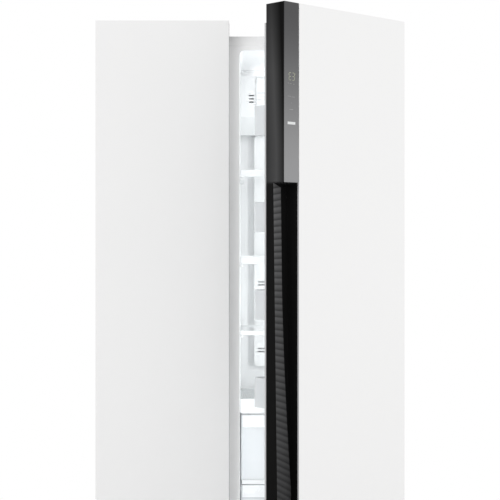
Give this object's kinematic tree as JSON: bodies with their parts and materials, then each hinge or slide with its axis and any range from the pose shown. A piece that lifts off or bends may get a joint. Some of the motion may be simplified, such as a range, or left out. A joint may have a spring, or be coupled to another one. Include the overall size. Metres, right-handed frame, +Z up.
{
  "type": "side by side refrigerator",
  "caption": "Tall free-standing refrigerator with two side by side doors, the right one ajar, an edge grip channel and control strip, shelves, drawers and door bins.",
  "frame": {"origin": "on the floor under the middle of the bounding box, with the left door shut and the right door open as in the rest pose", "axes": "+X to the right as seen from the front, +Y towards the back, +Z up; the doors are on the -Y side"},
  "size_m": [0.9234, 0.9764, 1.786],
  "materials": {
    "cabinet_paint": "painted sheet steel, light grey",
    "rim_paint": "satin grey rim",
    "door_paint": "white painted sheet steel",
    "liner": "white vacuum-formed liner",
    "seal": "pale grey soft seal",
    "black_moulding": "gloss black moulding",
    "panel_glass": "smoked grey control strip, darker at the top",
    "ribbed_grip": "dark grey ribbed grip",
    "shelf_glass": "toughened glass with a white front trim",
    "drawer_plastic": "frosted clear plastic",
    "foam": "rigid insulation foam",
    "steel": "zinc-plated steel",
    "black_paint": "black painted steel",
    "black_plastic": "black plastic",
    "coil_aluminium": "bare aluminium",
    "lamp_lens": "translucent white lens"
  },
  "bodies": {
    "cabinet": {"outer_cabinet": "cabinet_paint", "back_panel": "cabinet_paint", "front_rim": "rim_paint", "cabinet_foam": "foam", "fridge_liner": "liner", "freezer_liner": "liner", "base_pan": "steel", "toe_grille": "cabinet_paint", "top_hinge_right": "steel", "top_hinge_left": "steel", "bottom_hinge_right": "steel", "bottom_hinge_left": "steel", "top_cover": "cabinet_paint", "compressor": "black_paint", "condenser_fan_bracket": "steel", "condenser_coil": "black_paint", "drain_pan": "black_plastic", "rear_cover": "black_plastic", "mains_inlet": "black_plastic", "evaporator": "coil_aluminium", "freezer_duct_cover": "liner", "fridge_duct_head": "liner", "fridge_duct_column": "liner", "fridge_lamp": "lamp_lens", "fridge_shelf_top": "shelf_glass", "fridge_shelf_middle": "shelf_glass", "fridge_shelf_bottom": "shelf_glass", "crisper_cover": "shelf_glass", "freezer_shelf_top": "shelf_glass", "freezer_shelf_bottom": "shelf_glass", "freezer_drawer_cover": "shelf_glass"},
    "right_door": {"right_door_panel": "door_paint", "right_door_core": "foam", "right_door_liner": "liner", "right_door_gasket": "seal", "right_door_edge_trim": "black_moulding", "right_door_control_panel": "panel_glass", "right_door_grip_insert": "ribbed_grip", "right_door_bin_1": "drawer_plastic", "right_door_bin_2": "drawer_plastic", "right_door_bin_3": "drawer_plastic", "right_door_bin_4": "drawer_plastic"},
    "left_door": {"left_door_panel": "door_paint", "left_door_core": "foam", "left_door_liner": "liner", "left_door_gasket": "seal", "left_door_edge_trim": "black_moulding", "left_door_bin_1": "drawer_plastic", "left_door_bin_2": "drawer_plastic", "left_door_bin_3": "drawer_plastic"},
    "air_damper": {"air_damper": "lamp_lens"},
    "condenser_fan": {"condenser_fan": "black_plastic"},
    "crisper_drawer_lower": {"crisper_drawer_lower": "drawer_plastic"},
    "crisper_drawer_upper": {"crisper_drawer_upper": "drawer_plastic"},
    "evaporator_fan": {"evaporator_fan": "black_plastic"},
    "freezer_drawer_lower": {"freezer_drawer_lower": "drawer_plastic"},
    "freezer_drawer_upper": {"freezer_drawer_upper": "drawer_plastic"},
    "levelling_foot_left": {"levelling_foot_left": "black_plastic"},
    "levelling_foot_right": {"levelling_foot_right": "black_plastic"},
    "rear_rollers": {"rear_rollers": "black_plastic"}
  },
  "joints": [
    {"name": "right_door_hinge", "type": "hinge", "parent": "cabinet", "child": "right_door", "pos_m": [0.42429, -0.1338, 0.893], "axis": [0, 0, 1], "range_deg": [-43.6, 71.4]},
    {"name": "left_door_hinge", "type": "hinge", "parent": "cabinet", "child": "left_door", "pos_m": [-0.43671, -0.1338, 0.893], "axis": [0, 0, -1], "range_deg": [0, 115]},
    {"name": "crisper_drawer_upper_slide", "type": "slide", "parent": "cabinet", "child": "crisper_drawer_upper", "axis": [0, -1, 0], "range_m": [0, 0.12]},
    {"name": "crisper_drawer_lower_slide", "type": "slide", "parent": "cabinet", "child": "crisper_drawer_lower", "axis": [0, -1, 0], "range_m": [0, 0.12]},
    {"name": "freezer_drawer_upper_slide", "type": "slide", "parent": "cabinet", "child": "freezer_drawer_upper", "axis": [0, -1, 0], "range_m": [0, 0.09]},
    {"name": "freezer_drawer_lower_slide", "type": "slide", "parent": "cabinet", "child": "freezer_drawer_lower", "axis": [0, -1, 0], "range_m": [0, 0.09]},
    {"name": "condenser_fan_spin", "type": "hinge", "parent": "cabinet", "child": "condenser_fan", "pos_m": [-0.11121, 0.3717, 0.165], "axis": [1, 0, 0], "continuous": true},
    {"name": "evaporator_fan_spin", "type": "hinge", "parent": "cabinet", "child": "evaporator_fan", "pos_m": [-0.25396, 0.3672, 1.30008], "axis": [0, -1, 0], "continuous": true},
    {"name": "air_damper_pivot", "type": "hinge", "parent": "cabinet", "child": "air_damper", "pos_m": [0.18554, 0.3482, 1.519], "axis": [1, 0, 0], "range_deg": [0, 80]},
    {"name": "rear_roller_spin", "type": "hinge", "parent": "cabinet", "child": "rear_rollers", "pos_m": [-0.00621, 0.4282, 0.018], "axis": [1, 0, 0], "continuous": true},
    {"name": "levelling_foot_left_turn", "type": "hinge", "parent": "cabinet", "child": "levelling_foot_left", "pos_m": [-0.40171, -0.0198, 0.02], "axis": [0, 0, 1], "continuous": true},
    {"name": "levelling_foot_right_turn", "type": "hinge", "parent": "cabinet", "child": "levelling_foot_right", "pos_m": [0.38929, -0.0198, 0.02], "axis": [0, 0, 1], "continuous": true}
  ]
}
